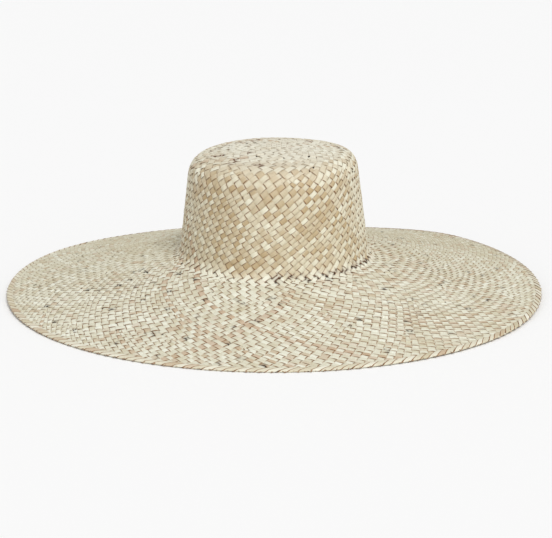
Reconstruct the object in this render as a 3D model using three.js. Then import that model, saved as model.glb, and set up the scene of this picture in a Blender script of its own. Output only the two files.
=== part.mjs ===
// A palm leaf sun hat, plaited from flat strips: a tall crown with a nearly flat top, and a wide
// round brim that droops from the crown to a folded edge. Millimetres, +Z up. The hat stands on
// its edge with the middle of the brim over the origin, and its front is towards -Y.
import * as THREE from 'three';

// Brim
const BRIM_RADIUS = 250; // middle of the hat to the outside of the folded edge
const BRIM_DROP = 31; // fall of the brim from the crown to its edge
const BRIM_WAVE = 8; // lift of the edge where the brim waves highest

// Crown, from the corner where the line of its wall meets the brim
const CROWN_WIDTH = 177; // side to side
const CROWN_LENGTH = 193; // front to back
const CROWN_HEIGHT = 98; // brim to the edge of the top
const CROWN_LEAN_IN = 11; // how far the wall leans in over its height
const CROWN_DOME = 5; // rise of the top's middle over its edge
const TOP_FLAT_RADIUS = 14; // flat middle of the top

// Rounded turns, from the corner that they round to where they end
const SHOULDER_TURN = 24; // wall to top
const ROOT_TURN = 12; // wall to brim
const JOINT_SHARE = 0.3; // part of the root's turn that belongs to the crown

// Straw, its folded edge and the clearance between neighbours
const STRAW_WALL = 1.4; // two strips that cross, one over the other
const EDGE_WALL = 1; // one layer of the folded edge
const EDGE_WIDTH = 7; // folded edge, across
const FIT_GAP = 0.3;

const SIDES = 80; // divisions around the hat

// Crests and troughs of the edge: degrees from +X, and the lift as a share of BRIM_WAVE
const BRIM_WAVES = [
  { at: 40, lift: 1 },
  { at: 75, lift: 0 },
  { at: 110, lift: 0 },
  { at: 160, lift: 0.55 },
  { at: 225, lift: 0.05 },
  { at: 270, lift: 0 },
  { at: 315, lift: 0.1 },
];

// The brim's fall outside its turn: share of the way out, and share of BRIM_DROP
const BRIM_FALLS = [
  { out: 0.08, fall: 0.06 },
  { out: 0.35, fall: 0.32 },
  { out: 0.65, fall: 0.63 },
];

// The crown is a little out of true: degrees from +X, and its lean, height and shoulder turn
// there as shares of CROWN_LEAN_IN, CROWN_HEIGHT and SHOULDER_TURN
const CROWN_SIDES = [
  { at: 0, lean: 1.2, height: 1.02, turn: 0.7 },
  { at: 90, lean: 1, height: 1.005, turn: 1 },
  { at: 180, lean: 1, height: 0.985, turn: 0.85 },
  { at: 270, lean: 1, height: 1, turn: 1 },
];

const STRAW_COLORS = { crown: '#cabd9b', brim: '#d7ceb6', brim_edge: '#cfc3a2' };

// A column of a table that goes around the hat, eased from each row to the next
function around(table, column, degrees) {
  const from = table.findLast((row) => row.at <= degrees) ?? table.at(-1);
  const to = table[(table.indexOf(from) + 1) % table.length];
  const span = (to.at - from.at + 360) % 360;
  const past = (degrees - from.at + 360) % 360;
  const share = THREE.MathUtils.smoothstep(past / span, 0, 1);
  return THREE.MathUtils.lerp(from[column], to[column], share);
}

// A point of a section: x is the reach from the hat's middle, y is the height
const point = (reach, height) => new THREE.Vector2(reach, height);

// The side of a direction that lies to its left
const leftOf = (direction) => point(-direction.y, direction.x);

// A path moved to its left by a distance, with mitred corners. The first point moves along
// startWay, and the last one straight off the path.
function offsetPath(path, distance, startWay) {
  const sides = path.slice(1).map((to, k) => leftOf(to.clone().sub(path[k]).normalize()));
  return path.map((at, k) => {
    const side = sides[Math.max(k - 1, 0)];
    const next = sides[Math.min(k, sides.length - 1)];
    const way = k === 0 ? startWay : side.clone().add(next).normalize();
    return at.clone().addScaledVector(way, distance / way.dot(side));
  });
}

// Where the lines of the crown's wall and of the brim meet, on the oval of the crown's foot
function rootCorner(angle) {
  const halfWidth = CROWN_WIDTH / 2;
  const halfLength = CROWN_LENGTH / 2;
  const across = halfLength * Math.cos(angle);
  const along = halfWidth * Math.sin(angle);
  return point(halfWidth * halfLength / Math.hypot(across, along), BRIM_DROP);
}

// The turn between wall and brim, split at the joint: its ends, the joint and two handles
function rootTurn(angle) {
  const corner = rootCorner(angle);
  const wallWay = point(-CROWN_LEAN_IN, CROWN_HEIGHT).normalize();
  const wallEnd = corner.clone().addScaledVector(wallWay, ROOT_TURN);
  const brimEnd = point(corner.x + ROOT_TURN, corner.y);
  const crownHandle = wallEnd.clone().lerp(corner, JOINT_SHARE);
  const brimHandle = corner.clone().lerp(brimEnd, JOINT_SHARE);
  const joint = crownHandle.clone().lerp(brimHandle, JOINT_SHARE);
  return { wallEnd, crownHandle, joint, brimHandle, brimEnd };
}

// Outside of the crown, from its foot up the wall and over the shoulder to the middle of the top
function crownPath(angle, degrees) {
  const { wallEnd, crownHandle, joint } = rootTurn(angle);
  const leanIn = CROWN_LEAN_IN * around(CROWN_SIDES, 'lean', degrees);
  const height = CROWN_HEIGHT * around(CROWN_SIDES, 'height', degrees);
  const turn = SHOULDER_TURN * around(CROWN_SIDES, 'turn', degrees);
  const shoulder = rootCorner(angle).add(point(-leanIn, height));
  const wallTop = shoulder.clone().lerp(wallEnd, turn / shoulder.distanceTo(wallEnd));
  const topEdge = point(shoulder.x - turn, shoulder.y);
  const topHeight = BRIM_DROP + CROWN_HEIGHT + CROWN_DOME;
  const domeHandle = point((topEdge.x + TOP_FLAT_RADIUS) / 2, topHeight);

  const foot = new THREE.Path([point(joint.x, joint.y + FIT_GAP)]);
  foot.quadraticCurveTo(crownHandle.x, crownHandle.y, wallEnd.x, wallEnd.y);
  const wall = new THREE.Path([wallTop]);
  wall.quadraticCurveTo(shoulder.x, shoulder.y, topEdge.x, topEdge.y);
  const top = new THREE.Path([topEdge]);
  top.quadraticCurveTo(domeHandle.x, domeHandle.y, TOP_FLAT_RADIUS, topHeight);
  return [...foot.getPoints(2), ...wall.getPoints(5), ...top.getPoints(3).slice(1), point(0, topHeight)];
}

// Upper side of the brim, from the top of its collar down the turn and out to the edge
function brimPath(angle, degrees) {
  const { joint, brimHandle, brimEnd } = rootTurn(angle);
  const edgeLift = BRIM_WAVE * around(BRIM_WAVES, 'lift', degrees);
  const edge = point(BRIM_RADIUS - EDGE_WALL - FIT_GAP, edgeLift);
  const collar = new THREE.Path([joint]);
  collar.quadraticCurveTo(brimHandle.x, brimHandle.y, brimEnd.x, brimEnd.y);
  const falls = BRIM_FALLS.map(({ out, fall }) => {
    const lift = edgeLift * out * out;
    return point(THREE.MathUtils.lerp(brimEnd.x, edge.x, out), BRIM_DROP * (1 - fall) + lift);
  });
  return [...collar.getPoints(3), ...falls, edge];
}

// Crown: one wall that is closed at the top and open at the foot
function crownSection(angle, degrees) {
  const outside = crownPath(angle, degrees);
  const inside = offsetPath(outside, STRAW_WALL, point(-1, 0));
  return [...outside, ...inside.reverse()];
}

// Brim: one wall with a short collar on which the crown stands
function brimSection(angle, degrees) {
  const upper = brimPath(angle, degrees);
  const under = offsetPath(upper, -STRAW_WALL, point(1, 0));
  return [...upper.reverse(), ...under];
}

// Folded edge: the strips turn round the end of the brim and come back under it
function edgeSection(angle, degrees) {
  const [before, end] = brimPath(angle, degrees).slice(-2);
  const out = end.clone().sub(before).normalize();
  const up = leftOf(out);
  const middle = end.clone().addScaledVector(up, -STRAW_WALL / 2);
  const grip = EDGE_WIDTH - EDGE_WALL - FIT_GAP;
  const slot = STRAW_WALL / 2 + FIT_GAP;
  const outer = slot + EDGE_WALL;
  const fold = new THREE.Path([point(-grip, -outer)]);
  fold.lineTo(FIT_GAP, -outer);
  fold.absarc(FIT_GAP, -slot, EDGE_WALL, -Math.PI / 2, 0);
  fold.absarc(FIT_GAP, slot, EDGE_WALL, 0, Math.PI / 2);
  fold.lineTo(-grip, outer);
  fold.lineTo(-grip, slot);
  fold.lineTo(FIT_GAP, slot);
  fold.lineTo(FIT_GAP, -slot);
  fold.lineTo(-grip, -slot);
  return fold.getPoints(1).map(({ x, y }) => (
    middle.clone().addScaledVector(out, x).addScaledVector(up, y)
  ));
}

// One closed body from a section that goes round the hat. Point k of the section at every angle
// makes ring k, and a ring on the hat's middle line is a single vertex.
function bodyAround(section) {
  const angles = Array.from({ length: SIDES }, (_, side) => side / SIDES * 2 * Math.PI);
  const sections = angles.map((angle) => section(angle, THREE.MathUtils.radToDeg(angle)));
  const vertices = [];
  const addVertex = ({ x: reach, y: height }, side) => (
    vertices.push(reach * Math.cos(angles[side]), reach * Math.sin(angles[side]), height) / 3 - 1
  );
  const rings = sections[0].map((first, k) => {
    if (first.x === 0) return Array(SIDES).fill(addVertex(first, 0));
    return sections.map((points, side) => addVertex(points[k], side));
  });

  const triangles = [];
  const addTriangle = (...corners) => {
    if (new Set(corners).size === 3) triangles.push(...corners);
  };
  rings.forEach((ring, k) => {
    const nextRing = rings[(k + 1) % rings.length];
    ring.forEach((corner, side) => {
      const nextSide = (side + 1) % SIDES;
      addTriangle(corner, ring[nextSide], nextRing[nextSide]);
      addTriangle(corner, nextRing[nextSide], nextRing[side]);
    });
  });
  const geometry = new THREE.BufferGeometry();
  geometry.setAttribute('position', new THREE.Float32BufferAttribute(vertices, 3));
  geometry.setIndex(triangles);
  geometry.computeVertexNormals();
  return geometry;
}

function strawMesh(name, section) {
  const material = new THREE.MeshStandardMaterial({
    color: STRAW_COLORS[name],
    roughness: 0.7,
    metalness: 0,
  });
  const mesh = new THREE.Mesh(bodyAround(section), material);
  mesh.name = name;
  return mesh;
}

const hat = new THREE.Group();
hat.add(strawMesh('crown', crownSection));
hat.add(strawMesh('brim', brimSection));
hat.add(strawMesh('brim_edge', edgeSection));

// The hat stands on the lowest points of its edge
hat.position.z = -new THREE.Box3().setFromObject(hat).min.z;

export default hat;
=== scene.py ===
# A palm leaf sun hat, plaited from flat undyed strips that run round it both ways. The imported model
# gives its form and place. This script plaits real strips over it: two families cross one over and
# one under from a small woven square on the crown's top, down its wall and out over the brim, and
# the strips' ends fold round the brim's edge. Lengths are in millimetres until a mesh is made.
import math

import bpy
import numpy as np
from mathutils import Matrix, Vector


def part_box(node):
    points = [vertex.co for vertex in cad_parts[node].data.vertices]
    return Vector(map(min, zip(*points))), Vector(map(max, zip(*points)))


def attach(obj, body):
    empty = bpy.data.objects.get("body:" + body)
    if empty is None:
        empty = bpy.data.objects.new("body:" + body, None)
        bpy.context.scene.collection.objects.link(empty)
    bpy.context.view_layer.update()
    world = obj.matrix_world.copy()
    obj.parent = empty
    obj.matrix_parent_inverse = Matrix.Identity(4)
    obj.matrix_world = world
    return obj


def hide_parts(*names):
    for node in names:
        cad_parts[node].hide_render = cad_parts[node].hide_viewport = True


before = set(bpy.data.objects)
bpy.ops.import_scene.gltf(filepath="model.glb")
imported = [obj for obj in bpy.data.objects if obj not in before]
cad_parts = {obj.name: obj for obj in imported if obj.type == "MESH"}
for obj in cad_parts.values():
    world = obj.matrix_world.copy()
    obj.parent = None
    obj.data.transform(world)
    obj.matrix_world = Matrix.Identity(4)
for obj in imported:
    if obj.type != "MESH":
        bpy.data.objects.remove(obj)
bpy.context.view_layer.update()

METRES = 0.001
TURN = 2 * math.pi

# Sizes of the hat, as in the part's source
BRIM_RADIUS = 250
BRIM_DROP = 31
BRIM_WAVE = 8
CROWN_WIDTH = 177
CROWN_LENGTH = 193
CROWN_HEIGHT = 98
CROWN_LEAN_IN = 11
CROWN_DOME = 5
TOP_FLAT_RADIUS = 14
SHOULDER_TURN = 24
ROOT_TURN = 12
JOINT_SHARE = 0.3
STRAW_WALL = 1.4
EDGE_WALL = 1
FIT_GAP = 0.3
TOP_HEIGHT = BRIM_DROP + CROWN_HEIGHT + CROWN_DOME

# Crests and troughs of the brim's edge: degrees from +X, and lift as a share of BRIM_WAVE
BRIM_WAVES = [(40, 1), (75, 0), (110, 0), (160, 0.55), (225, 0.05), (270, 0), (315, 0.1)]

# Fall of the brim: share of the way out, and share of BRIM_DROP
BRIM_FALLS = [(0, 0), (0.08, 0.06), (0.35, 0.32), (0.65, 0.63), (1, 1)]

# The crown is a little out of true: degrees from +X, then its lean, height and shoulder turn
CROWN_SIDES = [(0, 1.2, 1.02, 0.7), (90, 1, 1.005, 1), (180, 1, 0.985, 0.85), (270, 1, 1, 1)]

# Places along the hat's section, as lengths of straw from the middle of the top to the brim's edge
TOP_FLAT_END = TOP_FLAT_RADIUS
TOP_END = 57
SHOULDER_END = 96
WALL_END = 159
ROOT_END = 179
SECTION_END = 326
JOINT = WALL_END + JOINT_SHARE * (ROOT_END - WALL_END)

# Strips
STRIPS = 180  # of each family, where they reach the brim's edge
FIRST = 12  # of each family, around the woven square on the crown's top
SQUARE_END = 7  # place that they all start outside of, under the square's edge
STRIP_FILL = 0.975  # width of a strip as a share of its room
STRIP_WIDEST = 7.4
STRIP_CROWN = 0.36  # rise of a strip's middle over its section's origin
STRIP_BELLY = 0.2  # fall of its underside
STRIP_LIFT = 0.5  # how far a strip climbs over one that it crosses, out on the brim
CROWN_LIFT = 0.68  # and on the crown's wall
TOP_LIFT = 0.46  # and on its top
OPENING = 8  # length of the wedge that opens before two new strips are added
OPENED = 0.3  # part of the new strips' room that it opens
FILLING = 10  # length in which they come to full width
SETTLING = 0.4  # part of an uneven gap that strips make up for in each millimetre on the way down
EVENING = 0.06  # part of the way to even places all round that they move on the crown
LOOSE_NARROWING = 0.13  # how much narrower loosely plaited strips are, as a share of their room
OPEN_NARROWING = 0.4  # and strips beside an opening, as a share of their width
PATTERN_OFFSET = 613.0  # moves the leaf's pattern from each strip to the next
RIM_SAG = 0.75  # the brim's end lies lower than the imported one, whose fold is thicker

# Lean of each family's strips from straight down: place, degrees
CCW_LEAN = [
    (0, 40), (57, 40), (96, 39), (128, 42), (153, 44), (168, 46), (200, 45), (215, 50), (230, 54),
    (261, 54), (290, 56), (307, 59), (326, 62),
]
CW_LEAN = [
    (0, 45), (57, 49), (96, 53), (153, 53), (168, 46), (182, 33), (200, 32), (215, 38), (230, 45),
    (261, 46), (290, 44), (307, 46), (326, 48),
]

# Out on the brim both families are drawn round to the front right: how much, and where to
DRAW = 0.42
DRAW_TO = math.radians(-20)

# Number of strips in a family, and the place by which it has so many. The crown's wall has 64 one
# way and 76 the other, and none is added on it.
BRIM_COUNTS = [
    (90, 182), (104, 193), (110, 201), (118, 215), (131, 231), (138, 246), (149, 261), (157, 276),
    (172, 291), (180, 304),
]
CCW_COUNTS = [(12, 8), (44, 60), (64, 92), (64, JOINT - 3), (80, JOINT + 5), *BRIM_COUNTS]
CW_COUNTS = [(12, 8), (52, 60), (76, 92), (76, JOINT - 3), (84, JOINT + 5), *BRIM_COUNTS]

# Where the brim is plaited more loosely: degrees, reach, spread
LOOSE = [
    (-48, 190, 42), (-10, 165, 40), (-150, 150, 45), (-72, 112, 22), (-168, 205, 45),
    (-128, 205, 40),
]

# Places where the plaiting of the brim stands open beside added strips: degrees, reach
BRIM_OPENINGS = [
    (-115, 143), (-100.5, 145), (-103, 140), (-112, 172), (-95, 174), (-100.5, 183), (-119, 208),
    (-110.5, 208), (-100, 210), (-97, 231), (-101, 240), (-92, 241), (-66, 231), (-66, 178),
    (-70, 186), (-91, 134), (-88, 142), (-62, 133), (-162, 128), (-158, 126), (-162, 135),
    (-155, 145), (-143, 134), (-131, 140), (-147, 148), (-143, 108), (-153, 158), (-135, 162),
    (-123, 169), (-155, 172), (-158, 181), (-139, 188), (-120.5, 205), (-156, 223), (-146, 230),
    (-138, 230), (-114, 238), (-125, 232), (-130, 111), (-88, 104), (-73, 101), (-61, 102),
]

# The same on the crown's top
TOP_OPENINGS = [
    (171, 59), (-164, 60), (-159, 52), (152, 51), (-179, 43), (143, 39), (176, 25), (123, 35),
    (97, 50), (66, 49), (51, 20), (-134, 33), (-130, 55), (-129, 64), (-102, 63), (46, 49),
    (11, 60), (3, 66), (108, 49), (133, 49), (84, 46), (160, 55), (118, 44),
]

# How wide and dark an opening is: on the brim, on the top, and near the top's edge
BRIM_STRENGTH = 1.0
TOP_STRENGTH = 1.4
TOP_EDGE_STRENGTH = 2.6
TOP_EDGE_REACH = 45

# The row of openings along the crown's foot, at the front and on the right: degrees
FOOT_START = -92
FOOT_END = -14
FOOT_STEP = 4.7
FOOT_OUT = 3.5  # from the joint, in millimetres

# Small openings scattered over the rest of the brim
SCATTERED = 90

# Tan strips that run across the brim: degrees, reach, strength
TAN_STRIPS = [
    (-102, 172, 0.65), (-80.5, 219, 0.5), (-84, 148, 0.3), (-54, 181, 0.35), (-42, 215, 0.5),
]

# Share of each family's strips that are tan all along, and share that are much lighter
TAN_SHARE = {"ccw": 0.05, "cw": 0.03}
LIGHT_SHARE = {"ccw": 0.02, "cw": 0.1}


def smooth(share):
    """Eased from 0 to 1."""
    share = np.clip(share, 0, 1)
    return share * share * (3 - 2 * share)


def curve(table, at):
    """A smooth curve through a table's points."""
    xs, ys = np.array(table, float).T
    slopes = np.gradient(ys, xs)
    k = np.clip(np.searchsorted(xs, at, side="right") - 1, 0, len(xs) - 2)
    span = xs[k + 1] - xs[k]
    t = np.clip((at - xs[k]) / span, 0, 1)
    start = (1 + 2 * t) * (1 - t) ** 2 * ys[k] + t * (1 - t) ** 2 * span * slopes[k]
    return start + t * t * (3 - 2 * t) * ys[k + 1] + t * t * (t - 1) * span * slopes[k + 1]


def around(table, column, degrees):
    """A column of a table that goes round the hat, eased from each row to the next."""
    at = np.array([row[0] for row in table], float)
    values = np.array([row[column] for row in table], float)
    degrees = degrees % 360
    k = (np.searchsorted(at, degrees, side="right") - 1) % len(at)
    after = (k + 1) % len(at)
    share = smooth((degrees - at[k]) % 360 / ((at[after] - at[k]) % 360))
    return values[k] + (values[after] - values[k]) * share


def point(reach, height):
    """Points of a section, from the hat's middle line and from the floor."""
    return np.stack(np.broadcast_arrays(reach, height), axis=-1).astype(float)


def lerp(start, end, share):
    """A share of the way from start to end."""
    return start + (end - start) * share


def quadratic(start, handle, end, share):
    """A share of the way along a rounded turn, which is drawn towards its handle."""
    return start * (1 - share) ** 2 + 2 * handle * share * (1 - share) + end * share**2


def outside(places, angles):
    """Reach and height of the hat's outer face, for each place of its section at each angle."""
    degrees = np.degrees(angles)
    across = CROWN_LENGTH / 2 * np.cos(angles)
    along = CROWN_WIDTH / 2 * np.sin(angles)
    corner = point(CROWN_WIDTH * CROWN_LENGTH / 4 / np.hypot(across, along), BRIM_DROP)
    wall_way = point(-CROWN_LEAN_IN, CROWN_HEIGHT) / math.hypot(CROWN_LEAN_IN, CROWN_HEIGHT)
    wall_end = corner + wall_way * ROOT_TURN
    brim_end = corner + point(ROOT_TURN, 0)

    lean_in = CROWN_LEAN_IN * around(CROWN_SIDES, 1, degrees)
    shoulder = corner + point(-lean_in, CROWN_HEIGHT * around(CROWN_SIDES, 2, degrees))
    turn = (SHOULDER_TURN * around(CROWN_SIDES, 3, degrees))[:, None]
    wall_length = np.linalg.norm(shoulder - wall_end, axis=1)[:, None]
    wall_top = lerp(shoulder, wall_end, turn / wall_length)
    top_edge = shoulder - turn * point(1, 0)
    flat_edge = point(np.full(len(angles), TOP_FLAT_RADIUS), TOP_HEIGHT)
    dome_handle = point((top_edge[:, 0] + TOP_FLAT_RADIUS) / 2, TOP_HEIGHT)

    edge_lift = BRIM_WAVE * around(BRIM_WAVES, 1, degrees)
    edge_reach = BRIM_RADIUS - EDGE_WALL - FIT_GAP
    section = np.empty((len(places), len(angles), 2))

    def fill(start, end, shape):
        """Fills the rows from one place to another, from a shape that takes the share of the way."""
        here = (places >= start) & (places <= end)
        section[here] = shape(((places[here] - start) / (end - start))[:, None, None])

    def brim(share):
        """The brim outside its turn, with its fall and its waves."""
        reach = lerp(brim_end[:, 0], edge_reach, share[..., 0])
        fall = BRIM_DROP * (1 - curve(BRIM_FALLS, share[..., 0]))
        return point(reach, fall + edge_lift * share[..., 0] ** 2)

    fill(0, TOP_FLAT_END, lambda s: lerp(point(0 * flat_edge[:, 0], TOP_HEIGHT), flat_edge, s))
    fill(TOP_FLAT_END, TOP_END, lambda s: quadratic(flat_edge, dome_handle, top_edge, s))
    fill(TOP_END, SHOULDER_END, lambda s: quadratic(top_edge, shoulder, wall_top, s))
    fill(SHOULDER_END, WALL_END, lambda s: lerp(wall_top, wall_end, s))
    fill(WALL_END, ROOT_END, lambda s: quadratic(wall_end, corner, brim_end, s))
    fill(ROOT_END, SECTION_END, brim)
    return section


def unit(vectors):
    """The same ways, each 1 long."""
    return vectors / np.maximum(np.linalg.norm(vectors, axis=-1, keepdims=True), 1e-9)


# The middle of the straw wall, its outward way and its stretch down and round the hat, on an even
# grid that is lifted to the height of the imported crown
PLACES = np.arange(0, SECTION_END + 1, 1.0)
ANGLES = np.linspace(0, TURN, 721)
section = outside(PLACES, ANGLES)
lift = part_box("crown")[1][2] / METRES - TOP_HEIGHT
face = np.stack([
    section[..., 0] * np.cos(ANGLES),
    section[..., 0] * np.sin(ANGLES),
    section[..., 1] + lift,
], axis=-1)
down_way = np.gradient(face, PLACES, axis=0)
round_way = np.gradient(face, ANGLES, axis=1)
round_way[:, 0] = round_way[:, -1] = (face[:, 1] - face[:, -2]) / (ANGLES[2] - ANGLES[0])
outward = unit(np.cross(down_way, round_way))
# The rings round the very middle of the top are too small to tell their outward way from
outward[:4] = (0, 0, 1)
middle = face - outward * STRAW_WALL / 2
middle[..., 2] -= RIM_SAG * smooth((PLACES - 240) / 80)[:, None]
mean_reach = section[..., 0].mean(axis=1)
step_length = np.linalg.norm(down_way, axis=-1)


def look_up(grid, place, angle):
    """The grid's value at places and angles between its own."""
    row = np.clip(place, 0, len(grid) - 1.001)
    column = (angle % TURN) / ANGLES[1]
    i = row.astype(int)
    j = np.minimum(column.astype(int), len(ANGLES) - 2)
    s = (row - i)[..., None]
    t = (column - j)[..., None]
    near = grid[i, j] * (1 - t) + grid[i, j + 1] * t
    far = grid[i + 1, j] * (1 - t) + grid[i + 1, j + 1] * t
    return near * (1 - s) + far * s


def place_at(degrees, reach, zone):
    """Where a point of the brim or of the crown's top lies along the section."""
    column = int(round(degrees % 360 / 360 * (len(ANGLES) - 1)))
    first, last = zone
    return np.interp(reach, section[first:last, column, 0], PLACES[first:last])


BRIM_ZONE = (ROOT_END - 6, SECTION_END + 1)
TOP_ZONE = (0, SHOULDER_END)


def find_openings(chance):
    """Every place where the plaiting stands open, as its angle, its place and its strength."""
    found = []
    for degrees, reach in BRIM_OPENINGS:
        found.append((math.radians(degrees), place_at(degrees, reach, BRIM_ZONE), BRIM_STRENGTH))
    for degrees, reach in TOP_OPENINGS:
        strength = TOP_EDGE_STRENGTH if reach > TOP_EDGE_REACH else TOP_STRENGTH
        found.append((math.radians(degrees), place_at(degrees, reach, TOP_ZONE), strength))
    for degrees in np.arange(FOOT_START, FOOT_END, FOOT_STEP):
        place = JOINT + FOOT_OUT + chance.uniform(-1, 1)
        angle = math.radians(degrees + chance.uniform(-1, 1))
        found.append((angle, place, chance.uniform(0.9, 1.8)))
    for _ in range(SCATTERED):
        angle = math.radians(chance.uniform(-58, 198))
        found.append((angle, chance.uniform(185, 318), chance.uniform(0.3, 0.9)))
    return found


openings = find_openings(np.random.default_rng(7))


def openness(place, angle, spread):
    """How far the plaiting stands open at a point, from 0 to 1. Each opening fades over spread."""
    reach = np.interp(place, PLACES, mean_reach)
    total = np.zeros(np.shape(place))
    for at_angle, at_place, strength in openings:
        aside = (angle - at_angle + math.pi) % TURN - math.pi
        distance = np.hypot(aside * reach, place - at_place)
        total += strength * np.exp(-((distance / spread) ** 2))
    return np.minimum(1.3 * total, 1)


class Family:
    """Strips that all run round the hat one way: way is 1 to turn counter-clockwise going down and
    -1 to turn clockwise. They are laid step by step down the section and keep even gaps. Where they
    have most room, or where the plaiting stands open, two more are added at once, so that over and
    under still alternate."""

    def __init__(self, name, way, lean, counts, chance):
        self.name = name
        self.way = way
        slants = way * np.tan(np.radians(curve(lean, PLACES)))
        count, place = np.array(counts, float).T
        wanted = np.interp(PLACES + OPENING, place, count)
        self.order = np.arange(FIRST)
        self.track = self.order / FIRST * TURN
        self.births = np.full(STRIPS, -OPENING - FILLING, float)
        rows = []
        for row, place in enumerate(PLACES):
            self.open_up(place, min(wanted[row] + 2, STRIPS))
            while len(self.order) + 2 <= wanted[row] + 0.01:
                # A little luck, so that new strips don't start in rows
                luck = chance.uniform(0.97, 1.03, len(self.order))
                self.insert(int(np.argmax(self.spread(place) * luck)), place)
            gaps = np.diff(self.track, append=self.track[0] + TURN)
            weights = self.weights(place)
            shares = (weights + np.roll(weights, -1)) / 2
            before = np.roll(gaps, 1)
            shares_before = np.roll(shares, 1)
            room = weights * (gaps + before) / (shares + shares_before)
            rows.append((self.order, self.track, room / TURN * STRIPS))
            lag = (gaps * shares_before - before * shares) / (shares + shares_before)
            here = self.track % TURN
            reach = np.maximum(np.interp(here, ANGLES, section[row, :, 0]), 8)
            step = np.interp(here, ANGLES, step_length[row])
            slant = slants[row] + DRAW * smooth((place - 195) / 25) * np.cos(here - DRAW_TO)
            even = TURN * (np.cumsum(shares) - shares) / shares.sum()
            even += np.mean(self.track - even)
            on_crown = 1 - smooth((place - JOINT) / 25)
            settle = SETTLING * lag + EVENING * on_crown * (even - self.track)
            self.track = self.track + slant * step / reach + settle
        self.number(rows)

    def weights(self, place):
        """How much room each strip laid so far asks for at a place, from 0 to 1."""
        past = place - self.births[self.order]
        return OPENED * smooth(past / OPENING) + (1 - OPENED) * smooth((past - OPENING) / FILLING)

    def insert(self, after, place):
        """Two new strips start in the gap after a strip."""
        gap = np.diff(self.track, append=self.track[0] + TURN)[after]
        new = [len(self.order), len(self.order) + 1]
        self.births[new] = place
        self.order = np.insert(self.order, after + 1, new)
        middle_angle = self.track[after] + gap / 2
        self.track = np.insert(self.track, after + 1, [middle_angle, middle_angle + 1e-6])

    def spread(self, place):
        """How far apart the strips are around each gap, as a share of the mean. The gaps next to
        it count less the farther off they are. It is 0 beside strips that have only just started."""
        gaps = np.diff(self.track, append=self.track[0] + TURN)
        apart = sum(math.exp(-((k / 2.2) ** 2) / 2) * np.roll(gaps, k) for k in range(-6, 7))
        young = self.weights(place) < 0.6
        return np.where(young | np.roll(young, -1), 0, apart / apart.mean())

    def open_up(self, place, most):
        """Two new strips start where the plaiting of the brim stands open and has room for them."""
        for angle, open_place, _ in openings:
            due = abs(open_place + 2 - OPENING - place) <= 0.5 and place > ROOT_END
            if due and len(self.order) + 2 <= most:
                after = int(np.argmax((self.track - angle) % TURN))
                if self.spread(place)[after] > 1.02:
                    self.insert(after, place)

    def number(self, rows):
        """Numbers the strips by their order at the brim's edge. Strips that haven't started yet
        are given places between their neighbours."""
        numbers = np.argsort(self.order)
        self.starts = np.empty(STRIPS)
        self.starts[numbers] = self.births + OPENING
        self.angles = np.empty((len(PLACES), STRIPS))
        self.room = np.zeros((len(PLACES), STRIPS))
        for row, (order, track, room) in enumerate(rows):
            at = numbers[order]
            ring = np.concatenate([[at[-1] - STRIPS], at, [at[0] + STRIPS]])
            ring_track = np.concatenate([[track[-1] - TURN], track, [track[0] + TURN]])
            self.angles[row] = np.interp(np.arange(STRIPS), ring, ring_track)
            self.room[row, at] = room

    def nearest(self, angle, place):
        """The number of the strip that passes closest to a point, apart from those that have hardly
        started."""
        aside = (self.angles[int(place)] - angle + math.pi) % TURN - math.pi
        return int(np.argmin(np.abs(aside) + 9 * (self.starts > place - FILLING)))

    def at(self, table, strip, place):
        """A strip's value in one of the family's tables, between its rows too."""
        return np.interp(place, PLACES, table[:, strip])


def find_crossings(ccw, cw):
    """Where strips of the two families cross. Each strip gets its crossings as place and side,
    which is 1 where it lies over the other strip and -1 where it lies under it. Very small steps
    keep strips that haven't started yet in order."""
    among = np.empty((len(PLACES), STRIPS))
    for row in range(len(PLACES)):
        others = cw.angles[row] + np.arange(STRIPS) * 1e-8
        laps = np.floor((ccw.angles[row] - others[0]) / TURN)
        ring = np.append(others, others[0] + TURN)
        among[row] = np.interp(ccw.angles[row] - laps * TURN, ring, np.arange(STRIPS + 1))
        among[row] += laps * STRIPS
    found = {ccw.name: [[] for _ in range(STRIPS)], cw.name: [[] for _ in range(STRIPS)]}
    for strip in range(STRIPS):
        track = np.maximum.accumulate(among[:, strip]) + PLACES * 1e-7
        numbers = np.arange(math.ceil(track[0]), math.floor(track[-1]) + 1)
        places = np.interp(numbers, track, PLACES)
        for number, place in zip(numbers, places):
            other = number % STRIPS
            if place > max(ccw.starts[strip], cw.starts[other], SQUARE_END):
                side = 1 if (strip + number) % 2 == 0 else -1
                found[ccw.name][strip].append((place, side))
                found[cw.name][other].append((place, -side))
    return {name: [sorted(each) for each in lists] for name, lists in found.items()}


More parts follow.
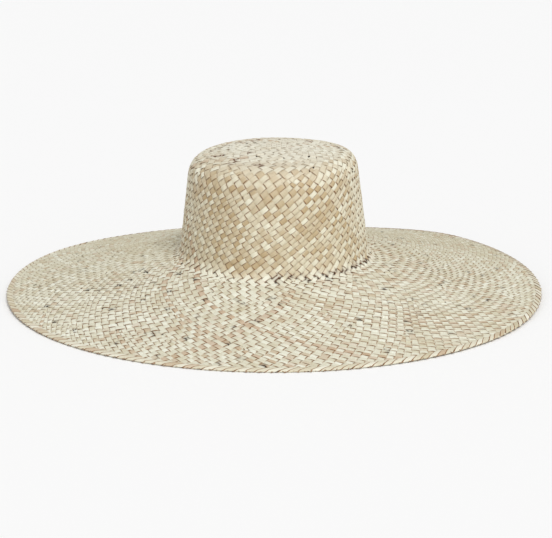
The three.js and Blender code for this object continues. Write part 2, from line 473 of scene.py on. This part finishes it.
class Weave:
    """Gathers strips into one mesh."""

    # Cross-section: a curved upper side, two cut edges and a flat underside. Going along it, the
    # right-hand edge has the map's 0 and the left-hand one its 1.
    LOOP = np.array([(-1, 0.55), (-0.55, 1), (0.55, 1), (1, 0.55), (0.96, -1), (-0.96, -1)])
    ACROSS = np.array([0.06, 0.26, 0.74, 0.94, 1, 0])

    # What the material reads at each point: how light the leaf is, with painted shade and light by
    # the side of the hat, and how tan it is, how much painted shade lies beside an opening, how much
    # painted shade at a cell's corner, how bleached on the top, whether it lies on the brim, and how
    # strong the lines along its edges are, brown cut edges with painted shadow along them
    LOOKS = ("tone", "tan", "opening_shade", "corner", "pale", "outer", "edges")

    def __init__(self):
        self.points = []
        self.faces = []
        self.values = {name: [] for name in (*self.LOOKS, "length", "across")}
        self.count = 0

    def add(self, centre, side, up, width, length, looks, thickness=1):
        """A closed strip: side and up are its cross ways at each of its centre's points. Looks that
        aren't given are 0."""
        samples = len(centre)
        across = self.LOOP[:, 0][None, :, None] * side[:, None] * (width / 2)[:, None, None]
        thin = np.minimum(width / 3, 1)[:, None] * thickness
        tall = np.where(self.LOOP[:, 1] > 0, STRIP_CROWN, STRIP_BELLY) * self.LOOP[:, 1] * thin
        ring = centre[:, None] + across + up[:, None] * tall[..., None]
        self.points.append(ring.reshape(-1, 3))
        first = self.count + 6 * np.arange(samples - 1)[:, None]
        k = np.arange(6)
        after = (k + 1) % 6
        quads = np.stack([first + k, first + 6 + k, first + 6 + after, first + after], axis=-1)
        self.faces += quads.reshape(-1, 4).tolist()
        last = self.count + 6 * (samples - 1)
        self.faces.append((self.count + k).tolist())
        self.faces.append((last + k[::-1]).tolist())
        self.count += 6 * samples
        for name in ("length", *self.LOOKS):
            row = length if name == "length" else looks.get(name, 0)
            self.values[name].append(np.repeat(np.broadcast_to(row, samples), 6))
        self.values["across"].append(np.tile(self.ACROSS, samples))

    def piece(self, name, node, slot, material):
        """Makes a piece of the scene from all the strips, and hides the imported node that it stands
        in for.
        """
        mesh = bpy.data.meshes.new(name)
        points = np.concatenate(self.points) * METRES
        mesh.from_pydata(points.tolist(), [], self.faces)
        values = {key: np.concatenate(rows) for key, rows in self.values.items()}
        corners = np.empty(len(mesh.loops), np.int32)
        mesh.loops.foreach_get("vertex_index", corners)
        strip_map = mesh.uv_layers.new(name="strip")
        flat = np.stack([values["length"][corners] * METRES, values["across"][corners]], axis=-1)
        strip_map.uv.foreach_set("vector", flat.astype(np.float32).ravel())
        for key in self.LOOKS:
            layer = mesh.attributes.new(name=key, type="FLOAT", domain="POINT")
            layer.data.foreach_set("value", values[key].astype(np.float32))
        mesh.materials.append(material)
        mesh.update()
        piece = bpy.data.objects.new(name, mesh)
        bpy.context.scene.collection.objects.link(piece)
        bpy.ops.object.select_all(action="DESELECT")
        piece.select_set(True)
        bpy.context.view_layer.objects.active = piece
        bpy.ops.object.shade_smooth_by_angle(angle=math.radians(52))
        piece.select_set(False)
        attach(piece, "root")
        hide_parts(node)
        return piece


# Between two crossings: share of the way, and share of the first one's height that is left
CLOSE = ((0.27, 0.88), (0.5, 0.5), (0.73, 0.12))
WIDE = ((0.34, 0.82), (0.66, 0.18))

SAMPLE = [("place", float), ("height", float), ("cell", int), ("crossing", bool)]


def strip_samples(crossings, start):
    """Samples along a strip: each has its place, its height, the number of the crossing whose cell
    it belongs to, and whether it is that crossing. The strip begins under the first one that it
    meets, so that its end is tucked away. A strip with too few crossings has none."""
    if crossings and crossings[0][1] > 0:
        crossings = crossings[1:]
    if len(crossings) < 2:
        return None
    gap = crossings[1][0] - crossings[0][0]
    rows = [(max(crossings[0][0] - 0.3 * gap, start), -1.0, 0, False)]
    for k, (place, side) in enumerate(crossings):
        rows.append((place, float(side), k, True))
        if k + 1 < len(crossings):
            next_place, next_side = crossings[k + 1]
            for share, hold in (CLOSE if place < JOINT else WIDE):
                height = side * hold + next_side * (1 - hold)
                rows.append((lerp(place, next_place, share), height, k + (share > 0.5), False))
    if SECTION_END - rows[-1][0] > 0.5:
        rows.append((SECTION_END, 0.0, len(crossings) - 1, False))
    return np.array(rows, SAMPLE)


def looseness(place, angle):
    """How loosely the strips are plaited at a point, from 0 to 1."""
    reach = np.interp(place, PLACES, mean_reach)
    total = 0.9 * np.exp(-(((place - JOINT - 6) / 10) ** 2))
    for degrees, at_reach, spread in LOOSE:
        aside = (angle - math.radians(degrees) + math.pi) % TURN - math.pi
        distance = np.hypot(aside * reach, reach - at_reach)
        total += 0.6 * np.exp(-((distance / spread) ** 2)) * (place > JOINT)
    return np.minimum(total, 1)


def on_wall(place):
    """0 on the crown's top, and 1 from its wall outwards."""
    return smooth((place - 60) / 30)


def on_brim(place):
    """0 on the crown, and 1 on the brim."""
    return smooth((place - JOINT + 3) / 16)


def facing(angle, degrees):
    """1 on the side of the hat that faces this way, and -1 on the opposite side."""
    return np.cos(angle - math.radians(degrees))


def uneven(place, size, step, chance):
    """Small random changes along a strip, with a new one every few samples."""
    return np.interp(place, place[::step], chance.normal(0, size, len(place[::step])))


def lay_strip(family, strip, samples, angle, chance):
    """Centre, side, up, width and length of a strip at each of its samples."""
    place = samples["place"]
    up = unit(look_up(outward, place, angle))
    base = look_up(middle, place, angle)
    ahead = np.minimum(place + 1, SECTION_END)
    behind = np.maximum(place - 1, 0)
    way = look_up(middle, ahead, family.at(family.angles, strip, ahead))
    way -= look_up(middle, behind, family.at(family.angles, strip, behind))
    way = unit(way)
    side = unit(np.cross(up, way))
    sideways = look_up(round_way, place, angle)
    spacing = np.linalg.norm(np.cross(sideways, way), axis=1) * TURN / STRIPS

    jitter = uneven(place, 1, 3, chance)
    fill = STRIP_FILL - LOOSE_NARROWING * looseness(place, angle)
    width = spacing * family.at(family.room, strip, place) * fill * (1 + 0.02 * jitter)
    width = np.minimum(width, STRIP_WIDEST) * (1 - OPEN_NARROWING * openness(place, angle, 1.5))
    wander = uneven(place, 0.12, 4, chance)
    climb = lerp(lerp(TOP_LIFT, CROWN_LIFT, on_wall(place)), STRIP_LIFT, on_brim(place))
    lifted = climb * samples["height"] * (1 + 0.12 * jitter)
    centre = base + up * lifted[:, None] + side * wander[:, None]
    length = np.concatenate([[0], np.cumsum(np.linalg.norm(np.diff(base, axis=0), axis=1))])
    return centre, side * family.way, up, width, length + strip * PATTERN_OFFSET


def family_colours(family, chance):
    """How light and how tan each strip of a family is. The tan ones that stand out in the photo
    run counter-clockwise."""
    is_tan = chance.uniform(0, 1, STRIPS) > 1 - TAN_SHARE[family.name]
    tans = np.where(is_tan, chance.uniform(0.25, 0.6, STRIPS), 0)
    if family.way > 0:
        for degrees, reach, strength in TAN_STRIPS:
            place = place_at(degrees, reach, BRIM_ZONE)
            tans[family.nearest(math.radians(degrees), place)] = strength
    tones = chance.normal(0, 1, STRIPS)
    tones += 2.5 * (chance.uniform(0, 1, STRIPS) > 1 - LIGHT_SHARE[family.name])
    return tones, tans


def strip_looks(way, samples, angle, tone, tan, chance):
    """What the material reads at each sample of a strip. Its tone carries painted shade and
    painted light by the side of the hat: darkest on the front and back of the crown and on the
    back of the brim, and lighter on the crown's sides. It is also lightest just outside the
    crown's foot at the front."""
    place = samples["place"]
    cell = samples["cell"]
    brim = on_brim(place)
    wall = on_wall(place)

    cell_tone = chance.normal(0, 1, cell[-1] + 1)[cell] * lerp(0.14, 0.12, brim)
    # Painted shade and painted light by the side of the hat, taken from the tone
    painted_crown_shade = 0.16 + 0.08 * way - 0.1 * np.abs(facing(angle, -40))
    painted_crown_shade -= 0.28 * (1 - np.abs(np.sin(angle)))
    painted_brim_shade = 0.25 * smooth((np.sin(angle) + 0.4) / 1.1)
    light_ring = 0.35 * np.exp(-(((place - JOINT - 8) / 7) ** 2)) * smooth(facing(angle, -80))
    strip_tone = 0.5 + tone * lerp(0.12, 0.08, brim)

    # Single tan cells on the brim, most of them on its right
    tan_share = lerp(0.06, 0.17, smooth(facing(angle, -30)))
    rank = chance.uniform(0, 1, cell[-1] + 1)[cell] / tan_share
    tan_cells = np.where(rank < 1, 0.2 + 0.25 * rank, 0)

    # Painted shade at cells' corners, where a strip comes from over another one and the gap
    # between strips falls dark
    crossing = samples["crossing"]
    from_over = np.roll(crossing & (samples["height"] > 0), 1) & ~crossing
    corner = from_over * lerp(0.35, 1.5, looseness(place, angle)) * chance.uniform(0.3, 1, len(place))

    # On the brim the clockwise strips have strong edge lines at the front left only, as painted
    # shadow along their edges there
    at_left = smooth((facing(angle, -105) - 0.3) / 0.6)
    brim_edges = 1 if way > 0 else lerp(0.45, 1, at_left)
    return {
        "tone": strip_tone + cell_tone - lerp(painted_crown_shade, painted_brim_shade, brim) + light_ring,
        "tan": np.maximum(tan, tan_cells * brim),
        # Painted shade beside openings, which fall dark
        "opening_shade": openness(place, angle, 2.1),
        "corner": corner * lerp(0.45, 1, wall),
        "pale": 1 - smooth((place - 35) / 60),
        "outer": brim,
        "edges": lerp(0.5, 1, wall) * lerp(1, brim_edges, brim),
    }


def cut_at_joint(samples):
    """The sample where a strip passes from the crown's mesh to the brim's: the one nearest to the
    joint that lies under another strip. It is 0 if the strip starts on the brim."""
    under = np.flatnonzero(samples["crossing"] & (samples["height"] < 0))
    if samples["place"][0] >= JOINT - 6 or len(under) == 0:
        return 0
    return int(under[np.argmin(np.abs(samples["place"][under] - JOINT))])


def plait(family, crossings, weaves, chance):
    """Adds every strip of a family to the meshes of the crown and of the brim. Each runs so that
    its right-hand edge is the one towards the brim's edge."""
    tones, tans = family_colours(family, chance)
    onward = slice(None, None, family.way)
    for strip in range(STRIPS):
        samples = strip_samples(crossings[strip], family.starts[strip])
        if samples is None:
            continue
        angle = family.at(family.angles, strip, samples["place"])
        run = lay_strip(family, strip, samples, angle, chance)
        looks = strip_looks(family.way, samples, angle, tones[strip], tans[strip], chance)
        cut = cut_at_joint(samples)
        for zone, part in (("crown", slice(0, cut + 1 if cut else 0)), ("brim", slice(cut, None))):
            if len(samples[part]):
                weave = weaves[zone][strip * len(weaves[zone]) // STRIPS]
                rows = [row[part][onward] for row in run]
                weave.add(*rows, {name: row[part][onward] for name, row in looks.items()})


# Materials


def straight(hex_colour):
    """An sRGB hex colour as linear RGBA."""
    parts = [int(hex_colour[k:k + 2], 16) / 255 for k in (1, 3, 5)]
    return [*(p / 12.92 if p <= 0.04045 else ((p + 0.055) / 1.055) ** 2.4 for p in parts), 1]


def add_node(tree, kind, settings=None, inputs=None):
    """Adds a node. An input's value is a socket to link or a plain value."""
    node = tree.nodes.new(kind)
    for name, value in (settings or {}).items():
        setattr(node, name, value)
    for name, value in (inputs or {}).items():
        if isinstance(value, bpy.types.NodeSocket):
            tree.links.new(value, node.inputs[name])
        else:
            node.inputs[name].default_value = value
    return node


def blend(tree, share, first, second):
    """Mixes two colours by a share."""
    mix = add_node(tree, "ShaderNodeMix", {"data_type": "RGBA"}, {0: share, 6: first, 7: second})
    return mix.outputs[2]


def reckon(tree, operation, first, second=0.0, clamp=False):
    """Works out one value from two others."""
    node = add_node(tree, "ShaderNodeMath", {"operation": operation, "use_clamp": clamp},
                    {0: first, 1: second})
    return node.outputs[0]


def per_metre(size):
    """Scale of a pattern whose marks are so many millimetres apart, in whole marks to a metre."""
    return math.ceil(1000 / size)


# Size of the leaf's patterns in millimetres, and how many of them lie across a strip
VEIN_LENGTH = 15.5
VEINS_ACROSS = 9
STREAK_LENGTH = 31.5
STREAKS_ACROSS = 2.6
EDGE_BREAK = 5.9
BREAKS_ACROSS = 1.2
BLOTCH = 36
SPOT = 5.9
VEIN_DEPTH = 0.1

# Light and dark leaf on the crown, on the brim and on the folded edge
CROWN_TONES = ("#eeebd6", "#c1aa84")
BRIM_TONES = ("#f3f4e4", "#d0c9ae")
FOLD_TONES = ("#f3f1e0", "#d0c6a8")

# Bleached leaf on the crown's top, leaf that dried tan, and the marks on every strip
BLEACHED = "#f0eedf"
TAN = "#b88f6a"
STREAK_COLOUR = "#b39c70"
BLOTCH_COLOUR = "#c2b48d"
VEIN_COLOUR = "#8d7a52"
SPOT_COLOUR = "#8a6a45"

# Cut edges' brown lines, partly painted shadow, and painted shade at cells' corners; and painted
# shade beside openings: on the crown and on the brim
EDGE_COLOURS = ("#723f0e", "#854f10")
OPENING_SHADE_COLOURS = ("#643404", "#281003")


def palm_leaf(name, brim_tones, edge_strength):
    """Dried, undyed palm leaf, split into strips: satin and ribbed lengthwise by its veins, from
    cream to tan, with brown lines along the cut edges that are partly painted shadow, painted shade
    at the cells' corners, and dark brown painted shade where the plaiting gapes.
    The tones are those of light and dark leaf on the brim. The strength is that of the lines."""
    material = bpy.data.materials.new(name)
    material.use_nodes = True
    tree = material.node_tree
    tree.nodes.clear()
    output = add_node(tree, "ShaderNodeOutputMaterial")
    strip_map = add_node(tree, "ShaderNodeUVMap", {"uv_map": "strip"}).outputs["UV"]
    solid = add_node(tree, "ShaderNodeTexCoord").outputs["Object"]

    def value_of(attribute):
        """One of the looks that the strips carry."""
        settings = {"attribute_type": "GEOMETRY", "attribute_name": attribute}
        return add_node(tree, "ShaderNodeAttribute", settings).outputs["Fac"]

    def noise(coordinates, scale, detail):
        """Cloudy noise from about 0.2 to 0.8."""
        node = add_node(tree, "ShaderNodeTexNoise", {"noise_dimensions": "3D"}, {
            "Vector": coordinates, "Scale": scale, "Detail": detail, "Roughness": 0.55,
        })
        return node.outputs["Fac"]

    def strip_noise(length, across, detail):
        """Noise with marks of a length in millimetres, and so many of them across a strip."""
        node = add_node(tree, "ShaderNodeMapping", {"vector_type": "POINT"}, {
            "Vector": strip_map, "Scale": (per_metre(length), across, 1),
        })
        return noise(node.outputs["Vector"], 1, detail)

    def ranged(value, low, high, to_low=0.0, to_high=1.0):
        """A value eased from one range to another."""
        node = add_node(tree, "ShaderNodeMapRange", {"interpolation_type": "SMOOTHSTEP"}, {
            "Value": value, "From Min": low, "From Max": high, "To Min": to_low, "To Max": to_high,
        })
        return node.outputs["Result"]

    def by_zone(crown_colour, brim_colour):
        """One colour on the crown and another on the brim."""
        return blend(tree, value_of("outer"), crown_colour, brim_colour)

    across = add_node(tree, "ShaderNodeSeparateXYZ", None, {"Vector": strip_map}).outputs["Y"]
    off_middle = reckon(tree, "ABSOLUTE", reckon(tree, "SUBTRACT", across, 0.5))
    veins = strip_noise(VEIN_LENGTH, VEINS_ACROSS, 2)
    streaks = strip_noise(STREAK_LENGTH, STREAKS_ACROSS, 3)
    blotches = noise(solid, per_metre(BLOTCH), 2)
    spots = noise(solid, per_metre(SPOT), 3)

    tone = ranged(value_of("tone"), 0.0, 1.0)
    crown_tone = blend(tree, tone, straight(CROWN_TONES[1]), straight(CROWN_TONES[0]))
    brim_tone = blend(tree, tone, straight(brim_tones[1]), straight(brim_tones[0]))
    colour = by_zone(crown_tone, brim_tone)
    bleached = reckon(tree, "MULTIPLY", value_of("pale"), 0.7)
    marks = (
        (bleached, BLEACHED),
        (value_of("tan"), TAN),
        (ranged(streaks, 0.5, 0.75, 0, 0.22), STREAK_COLOUR),
        (ranged(blotches, 0.45, 0.7, 0, 0.16), BLOTCH_COLOUR),
        (ranged(veins, 0.35, 0.65, 0, 0.1), VEIN_COLOUR),
        (ranged(spots, 0.62, 0.78, 0, 0.25), SPOT_COLOUR),
    )
    for share, mark_colour in marks:
        colour = blend(tree, share, colour, straight(mark_colour))

    # Cut edges: brown lines that are partly the leaf's brown edge and partly painted shadow, all
    # along the one towards the brim's edge, a faint line on the other, and darkest at the corners,
    # where painted shade stands for the dark gaps between strips
    edge_breaks = ranged(strip_noise(EDGE_BREAK, BREAKS_ACROSS, 2), 0.36, 0.6, 0.5, 1)
    line = reckon(tree, "SUBTRACT", 1.0, ranged(across, 0.11, 0.2))
    far_line = reckon(tree, "MULTIPLY", ranged(across, 0.9, 0.97), 0.25)
    edge = reckon(tree, "MULTIPLY", reckon(tree, "ADD", line, far_line), edge_breaks)
    edge = reckon(tree, "MULTIPLY", edge, value_of("edges"))
    edge = reckon(tree, "MULTIPLY", edge, edge_strength)
    corner = reckon(tree, "MULTIPLY", value_of("corner"), ranged(off_middle, 0.28, 0.42))
    edge = reckon(tree, "MAXIMUM", edge, corner, True)
    colour = blend(tree, edge, colour, by_zone(*map(straight, EDGE_COLOURS)))

    # Openings: painted shade, the strips beside one are dark, most of all along their edges
    dark_edges = ranged(off_middle, 0.08, 0.3, 0.35, 1)
    opening_shade = reckon(tree, "MULTIPLY", value_of("opening_shade"), dark_edges, True)
    colour = blend(tree, opening_shade, colour, by_zone(*map(straight, OPENING_SHADE_COLOURS)))

    bump = add_node(tree, "ShaderNodeBump", None, {
        "Strength": 0.5, "Distance": VEIN_DEPTH * METRES, "Height": veins,
    })
    shader = add_node(tree, "ShaderNodeBsdfPrincipled", None, {
        "Base Color": colour,
        "Roughness": ranged(streaks, 0.3, 0.7, 0.48, 0.66),
        "IOR": 1.45,
        "Specular IOR Level": 0.5,
        "Normal": bump.outputs["Normal"],
    })
    tree.links.new(shader.outputs["BSDF"], output.inputs["Surface"])
    return material


crown_leaf = palm_leaf("palm_leaf_crown", BRIM_TONES, 0.9)
brim_leaf = palm_leaf("palm_leaf_brim", BRIM_TONES, 0.95)
fold_leaf = palm_leaf("palm_leaf_fold", FOLD_TONES, 1.2)

# The plaited walls
chance = np.random.default_rng(20)
ccw = Family("ccw", 1, CCW_LEAN, CCW_COUNTS, chance)
cw = Family("cw", -1, CW_LEAN, CW_COUNTS, chance)
crossings = find_crossings(ccw, cw)
for family in (ccw, cw):
    weaves = {"crown": [Weave()], "brim": [Weave(), Weave()]}
    plait(family, crossings[family.name], weaves, chance)
    weaves["crown"][0].piece(f"crown_strips_{family.name}", "crown", "crown_straw", crown_leaf)
    for k, weave in enumerate(weaves["brim"]):
        weave.piece(f"brim_strips_{family.name}_{k + 1}", "brim", "brim_straw", brim_leaf)

# The woven square on the crown's top
START_STRIPS = 5
START_STEP = 4.6
START_TUCK = 1.5  # how far the strips run on under those around the square
START_RAISED = 0.1
START_DIP = 0.9  # how far their ends dip


def woven_square(chance):
    """The small square that the plaiting of the crown starts from."""
    weave = Weave()
    reach = START_STRIPS * START_STEP / 2 + START_TUCK
    marks = np.linspace(-reach, reach, 4 * START_STRIPS + 1)
    up = np.tile((0.0, 0.0, 1.0), (len(marks), 1))
    width = np.full(len(marks), START_STEP * STRIP_FILL)
    dip = START_DIP * (1 - smooth((reach - np.abs(marks)) / (2 * START_TUCK)))
    for line in range(START_STRIPS):
        for turned in (0, 1):
            aside = (line - (START_STRIPS - 1) / 2) * START_STEP
            over = np.cos((marks / START_STEP + (START_STRIPS - 1) / 2) * math.pi)
            over *= (-1) ** (line + turned)
            height = TOP_HEIGHT + lift + START_RAISED + STRIP_LIFT * over - dip
            run = np.stack([marks, np.full(len(marks), aside), height], axis=-1)
            side = np.tile((0.0, 1.0, 0.0), (len(marks), 1))
            if turned:
                run = run[:, [1, 0, 2]]
                side = np.tile((-1.0, 0.0, 0.0), (len(marks), 1))
            looks = {"tone": chance.normal(0.5, 0.15), "pale": 1, "edges": 0.5}
            weave.add(run, side, up, width, marks + 50 * line, looks)
    return weave


woven_square(chance).piece("crown_start", "crown", "crown_straw", crown_leaf)

# The folded edge
FOLDS = 180
FOLD_REACH = 5  # from the brim's end in to where a fold is tucked under the plaiting
FOLD_HALF = 0.9  # middle of the brim's wall to the middle of the folded strip
FOLD_SLANT = 8  # how far a fold runs sideways over its reach
FOLD_LAP = 1.03  # width of a fold as a share of its room
FOLD_THIN = 0.5  # its thickness against a strip's
FOLD_TILT = 0.025  # leans each fold over the next

# Upper half of a fold's way, from its tucked end out: share of FOLD_REACH and height
FOLD_WAY = [(1, 0.3), (0.75, 0.75), (0.4, FOLD_HALF), (0.15, FOLD_HALF)]


def folded_edge(chance):
    """The strips' ends wind round the end of the brim, slanted, and lap like scales."""
    weave = Weave()
    arc = np.radians(np.linspace(90, -90, 6))
    share, above = np.array(FOLD_WAY).T
    inner = -FOLD_REACH * share
    out = np.concatenate([inner, FOLD_HALF * np.cos(arc), inner[::-1]])
    height = np.concatenate([above, FOLD_HALF * np.sin(arc), -above[::-1]])
    steps = np.concatenate([[0], np.cumsum(np.hypot(np.diff(out), np.diff(height)))])
    arc_start = steps[len(FOLD_WAY)]
    flat = [0] * len(FOLD_WAY)
    normal_out = np.concatenate([flat, np.cos(arc), flat])[:, None]
    normal_up = np.concatenate([np.ones_like(flat), np.sin(arc), -np.ones_like(flat)])[:, None]
    taper = np.interp(steps, [0, 2.5, steps[-1] - 2, steps[-1]], [0.8, 1, 1, 0.8])
    width = FOLD_LAP * TURN * BRIM_RADIUS / FOLDS * taper

    for k in range(FOLDS):
        angle = (k + chance.uniform(-0.1, 0.1)) / FOLDS * TURN
        slant = FOLD_SLANT * chance.uniform(0.85, 1.15)
        angles = angle + slant * (1 - steps / arc_start) / BRIM_RADIUS
        end = np.full(len(steps), SECTION_END)
        end_point = look_up(middle, end, angles)
        outer_way = unit(end_point - look_up(middle, end - 3, angles))
        up_way = unit(look_up(outward, end - 1, angles))
        centre = end_point + outer_way * out[:, None] + up_way * height[:, None]
        side = unit(look_up(round_way, end - 1, angles))
        up = unit(unit(outer_way * normal_out + up_way * normal_up) + side * FOLD_TILT)
        side = side - up * (side * up).sum(axis=1)[:, None]
        tan = chance.uniform(0.2, 0.6) if chance.uniform() > 0.86 else 0
        looks = {
            "tone": chance.normal(0.5, 0.15),
            "tan": tan,
            # Painted shade where the fold tucks under the plaiting
            "opening_shade": np.where(steps < 1, 0.4, 0),
            "outer": 1,
            "edges": 1.7,
        }
        weave.add(centre, side, up, width, steps + 40 * k, looks, FOLD_THIN)
    return weave


folded_edge(chance).piece("brim_fold", "brim_edge", "edge_straw", fold_leaf)

# Pale floor, seen all round the hat
bpy.ops.object.select_all(action="DESELECT")
bpy.ops.mesh.primitive_plane_add(size=24, location=(0, 0, 0))
floor = bpy.context.object
floor.name = "floor"
white = bpy.data.materials.new("matt_white_paint")
white.use_nodes = True
shader = white.node_tree.nodes["Principled BSDF"]
shader.inputs["Base Color"].default_value = straight("#fbfbfb")
shader.inputs["Roughness"].default_value = 0.9
shader.inputs["Specular IOR Level"].default_value = 0.1
floor.data.materials.append(white)

# Soft studio light: a bright white room, and one large soft light far away, in front and a little to
# the right
ROOM_LIGHT = 0.565
LIGHT_SIDE = math.radians(-70)
LIGHT_HEIGHT = math.radians(50)
LIGHT_SPREAD = math.radians(28)
LIGHT_STRENGTH = 1.74
world = bpy.data.worlds.new("studio")
bpy.context.scene.world = world
world.use_nodes = True
world.node_tree.nodes["Background"].inputs["Color"].default_value = straight("#ffffff")
world.node_tree.nodes["Background"].inputs["Strength"].default_value = ROOM_LIGHT
light_data = bpy.data.lights.new("key", "SUN")
light_data.angle = LIGHT_SPREAD
light_data.energy = LIGHT_STRENGTH
light = bpy.data.objects.new("key", light_data)
light.rotation_euler = (math.pi / 2 - LIGHT_HEIGHT, 0, LIGHT_SIDE + math.pi / 2)
bpy.context.scene.collection.objects.link(light)

# The camera stands as high over the hat as the photo's did. How far away that was is a guess.
CAMERA_AWAY = 1.6
CAMERA_UP = math.radians(15.85)
CAMERA_AIM = (0.0017, 0, 0.0188)
PHOTO_WIDTH = 552  # pixels
FOCAL_LENGTH = 1691.7  # pixels
SENSOR_WIDTH = 36  # millimetres
camera_data = bpy.data.cameras.new("camera")
camera_data.sensor_width = SENSOR_WIDTH
camera_data.lens = SENSOR_WIDTH * FOCAL_LENGTH / PHOTO_WIDTH
camera = bpy.data.objects.new("camera", camera_data)
camera.location = (0, -CAMERA_AWAY * math.cos(CAMERA_UP), CAMERA_AWAY * math.sin(CAMERA_UP))
aim = np.array(CAMERA_AIM) - np.array(camera.location)
camera.rotation_euler = (
    math.pi / 2 + math.atan2(aim[2], math.hypot(aim[0], aim[1])),
    0,
    math.atan2(aim[1], aim[0]) - math.pi / 2,
)
bpy.context.scene.collection.objects.link(camera)
bpy.context.scene.camera = camera
bpy.context.scene.view_settings.view_transform = "Standard"
